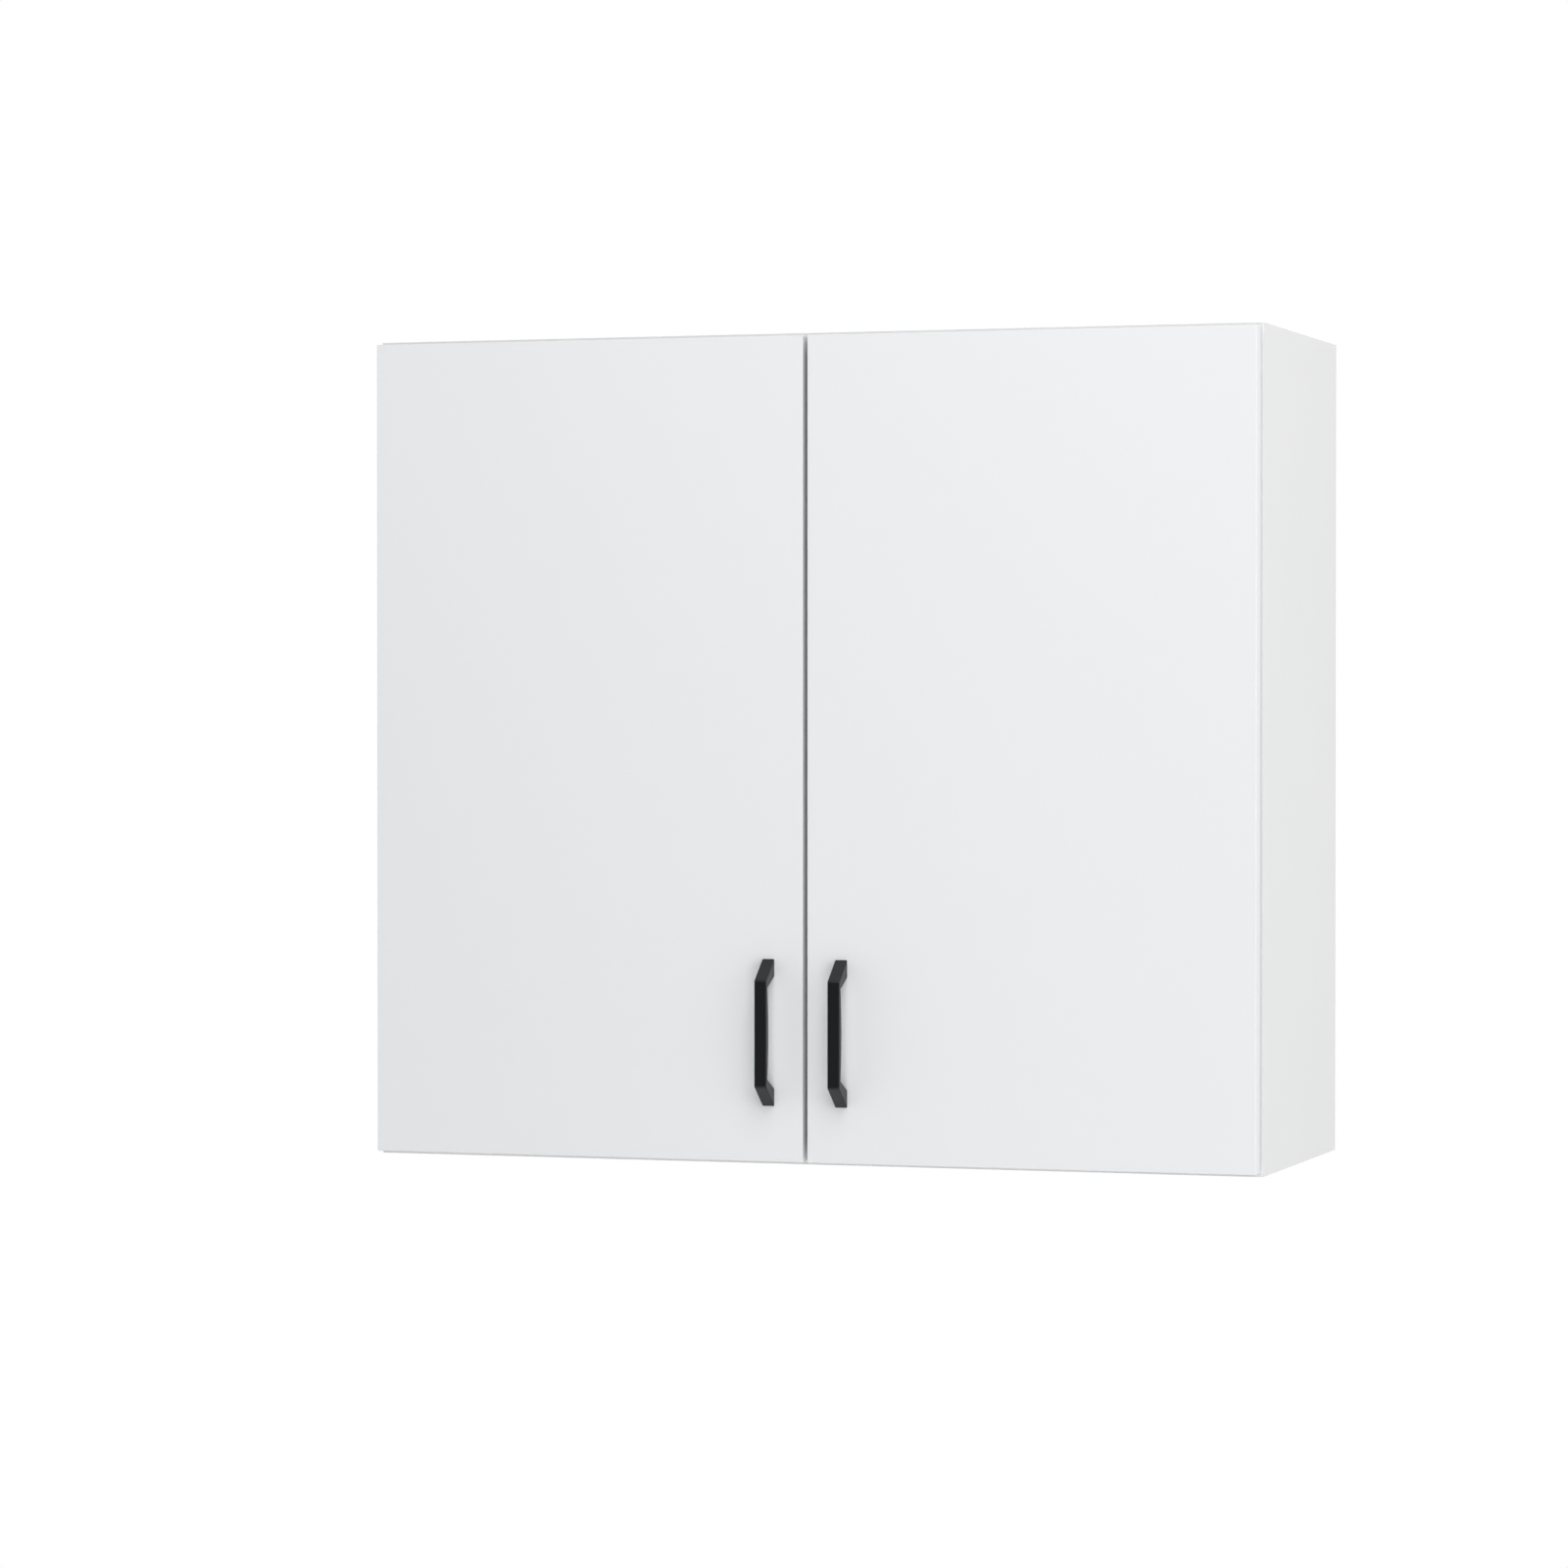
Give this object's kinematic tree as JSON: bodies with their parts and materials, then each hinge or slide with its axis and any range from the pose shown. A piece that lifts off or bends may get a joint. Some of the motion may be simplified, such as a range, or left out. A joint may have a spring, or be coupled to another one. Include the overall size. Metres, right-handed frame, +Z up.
{
  "type": "hanging wall cabinet",
  "caption": "White wall cabinet with slab doors on concealed hinges, black bow handles, an inner shelf, cam-lock panels and hooks that hang on wall plates.",
  "frame": {"origin": "on the wall plane, at the middle of the cabinet's width and the height of its underside", "axes": "+X to the viewer's right, +Y into the wall, +Z up; the doors face -Y"},
  "size_m": [0.8, 0.331, 0.72],
  "materials": {
    "white_board": "white melamine-faced chipboard, satin",
    "shelf_board": "white melamine-faced chipboard, satin",
    "back_board": "white-faced hardboard",
    "door_front": "white slab front, soft satin",
    "black_handle": "matte black powder coat",
    "beech": "fluted beech",
    "white_plastic": "moulded",
    "clear_bumper": "clear soft plastic",
    "zinc": "zinc plated",
    "spring_steel": "oiled spring wire",
    "nickel": "nickel plated"
  },
  "bodies": {
    "carcass": {"left_side_panel": "white_board", "right_side_panel": "white_board", "top_panel": "white_board", "bottom_panel": "white_board", "back_panel": "back_board", "shelf": "shelf_board", "shelf_pins": "nickel", "cam_discs": "zinc", "cam_bolts": "zinc", "cam_caps": "white_plastic", "dowels": "beech", "left_hanger_box": "white_plastic", "right_hanger_box": "white_plastic", "left_hanger_hook": "zinc", "right_hanger_hook": "zinc", "left_hanger_cover": "white_plastic", "right_hanger_cover": "white_plastic", "hanger_screws": "zinc", "hanger_adjusters": "zinc", "left_wall_plate": "zinc", "right_wall_plate": "zinc", "left_lower_hinge_plate": "nickel", "left_upper_hinge_plate": "nickel", "right_lower_hinge_plate": "nickel", "right_upper_hinge_plate": "nickel", "left_lower_hinge_arm": "nickel", "left_upper_hinge_arm": "nickel", "right_lower_hinge_arm": "nickel", "right_upper_hinge_arm": "nickel", "hinge_plate_screws": "nickel", "hinge_arm_screws": "nickel", "hinge_arm_pins": "nickel"},
    "left_links": {"left_lower_hinge_link": "nickel", "left_upper_hinge_link": "nickel"},
    "left_door": {"left_door": "door_front", "left_lower_hinge_cup": "nickel", "left_upper_hinge_cup": "nickel", "left_cup_pins": "nickel", "left_cup_springs": "spring_steel", "left_cup_screws": "nickel", "left_handle": "black_handle", "left_handle_screws": "zinc", "left_bumpers": "clear_bumper"},
    "right_links": {"right_lower_hinge_link": "nickel", "right_upper_hinge_link": "nickel"},
    "right_door": {"right_door": "door_front", "right_lower_hinge_cup": "nickel", "right_upper_hinge_cup": "nickel", "right_cup_pins": "nickel", "right_cup_springs": "spring_steel", "right_cup_screws": "nickel", "right_handle": "black_handle", "right_handle_screws": "zinc", "right_bumpers": "clear_bumper"}
  },
  "joints": [
    {"name": "left_link_swing", "type": "hinge", "parent": "carcass", "child": "left_links", "pos_m": [-0.37, -0.288, 0.36], "axis": [0, 0, -1], "range_deg": [-26.25, 0]},
    {"name": "left_door_swing", "type": "hinge", "parent": "left_links", "child": "left_door", "pos_m": [-0.39, -0.296, 0.36], "axis": [0, 0, -1], "range_deg": [0, 131.25]},
    {"name": "right_link_swing", "type": "hinge", "parent": "carcass", "child": "right_links", "pos_m": [0.37, -0.288, 0.36], "axis": [0, 0, 1], "range_deg": [-26.25, 0]},
    {"name": "right_door_swing", "type": "hinge", "parent": "right_links", "child": "right_door", "pos_m": [0.39, -0.296, 0.36], "axis": [0, 0, 1], "range_deg": [0, 131.25]}
  ],
  "couplings": [
    {"joint": "left_link_swing", "follows": "left_door_swing", "ratio": -0.2},
    {"joint": "right_link_swing", "follows": "right_door_swing", "ratio": -0.2}
  ]
}
